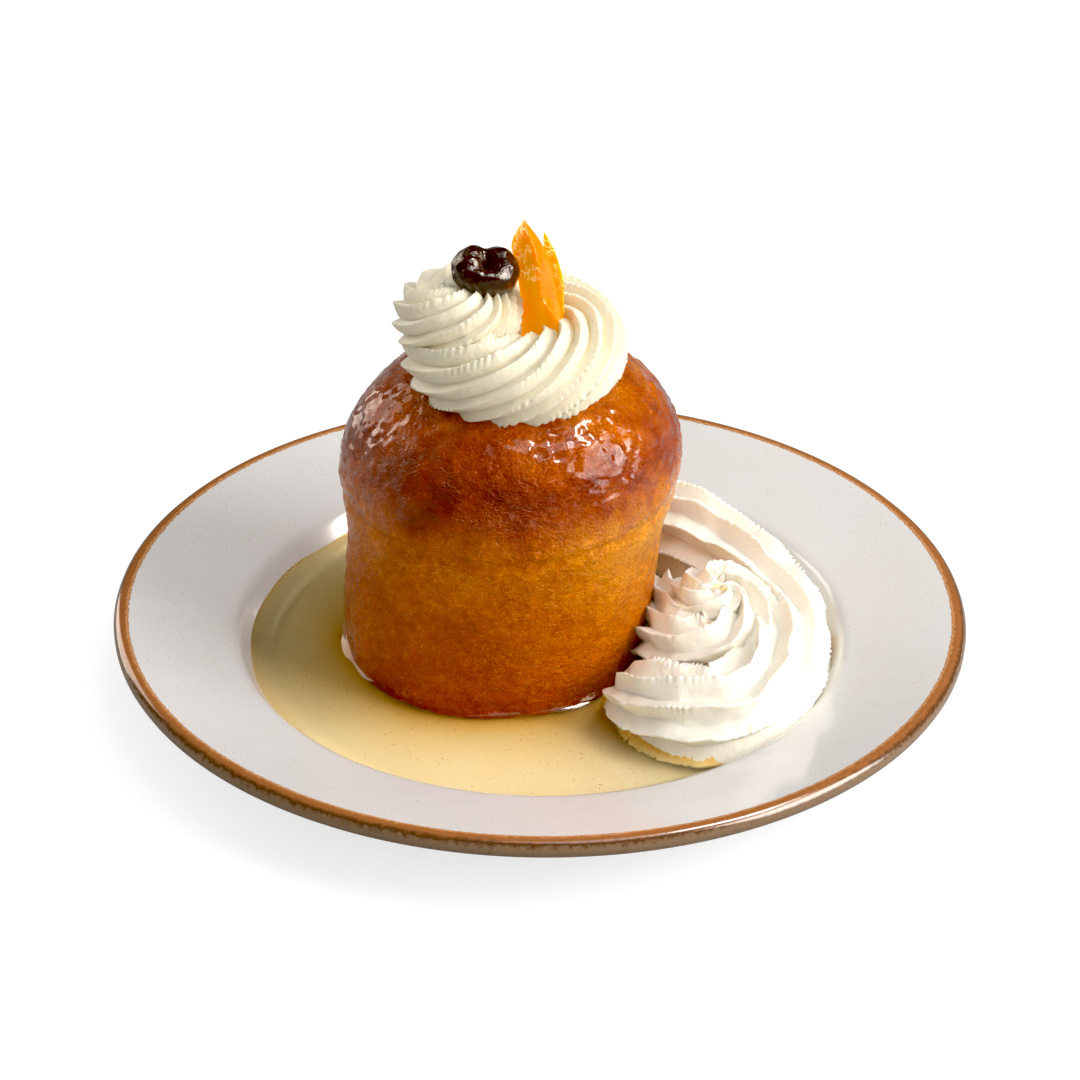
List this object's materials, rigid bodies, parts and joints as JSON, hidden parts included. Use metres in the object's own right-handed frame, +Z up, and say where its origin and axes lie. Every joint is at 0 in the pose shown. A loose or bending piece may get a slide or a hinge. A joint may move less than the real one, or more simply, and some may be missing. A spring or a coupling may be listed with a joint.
{
  "type": "rum baba on a plate",
  "caption": "Rum baba in its pool of syrup on a wide-rimmed plate, with piped whipped cream on top and beside it, a cherry and candied fruit.",
  "frame": {"origin": "middle of the plate's foot ring, on the table", "axes": "+Z up, +Y away from the eater, +X to the eater's right"},
  "size_m": [0.2398, 0.2398, 0.1436],
  "materials": {
    "stoneware": "glossy glaze, warm grey with fine brown speckles and a brown rim",
    "soaked_crust": "wet, glossy brown crust with fine pores",
    "whipped_cream": "soft satin",
    "cherry_flesh": "glossy, wrinkled",
    "candied_fruit": "glossy, slightly see-through",
    "clear_syrup": "clear, wet"
  },
  "bodies": {
    "root": {"plate": "stoneware", "baba": "soaked_crust", "cream_top": "whipped_cream", "cream_side": "whipped_cream", "cherry": "cherry_flesh", "fruit_wedge_front": "candied_fruit", "fruit_wedge_back": "candied_fruit", "syrup": "clear_syrup"}
  },
  "joints": []
}
